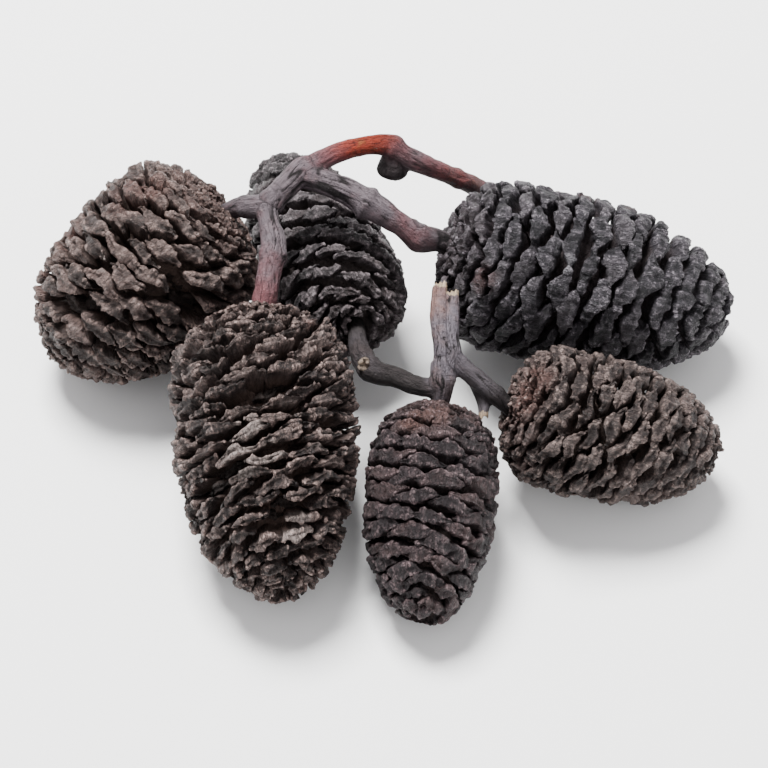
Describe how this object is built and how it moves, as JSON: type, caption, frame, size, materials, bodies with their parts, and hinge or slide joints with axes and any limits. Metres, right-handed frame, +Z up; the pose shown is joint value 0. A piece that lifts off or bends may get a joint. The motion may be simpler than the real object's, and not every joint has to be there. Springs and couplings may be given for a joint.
{
  "type": "alder cone cluster",
  "caption": "Cluster of open woody alder cones on forked, broken twigs, lying flat with their tips on the table; a natural decoration.",
  "frame": {"origin": "on the table below the middle of the bunch, half way along its length and its width", "axes": "+Z up from the table, +X along the bunch's length towards the cones that point right, +Y away from the two cones that point to the front"},
  "size_m": [0.0622, 0.0512, 0.019],
  "materials": {
    "brown_cone_left": "dry grey-brown cone scales, rough",
    "dark_cone_back": "charcoal black cone scales, rough",
    "brown_cone_front_left": "dark brown cone scales, rough",
    "dark_cone_right": "blue-black cone scales, rough",
    "brown_cone_front_middle": "purplish brown cone scales, rough",
    "brown_cone_lower_right": "brown cone scales, rough and wrinkled",
    "bark_upper": "pinkish grey bark, smooth with fine fissures",
    "bark_lower": "pinkish grey bark, weathered"
  },
  "bodies": {
    "root": {"cone_left": "brown_cone_left", "cone_back": "dark_cone_back", "cone_front_left": "brown_cone_front_left", "cone_right": "dark_cone_right", "cone_front_middle": "brown_cone_front_middle", "cone_lower_right": "brown_cone_lower_right", "twig_upper": "bark_upper", "twig_lower": "bark_lower"}
  },
  "joints": []
}
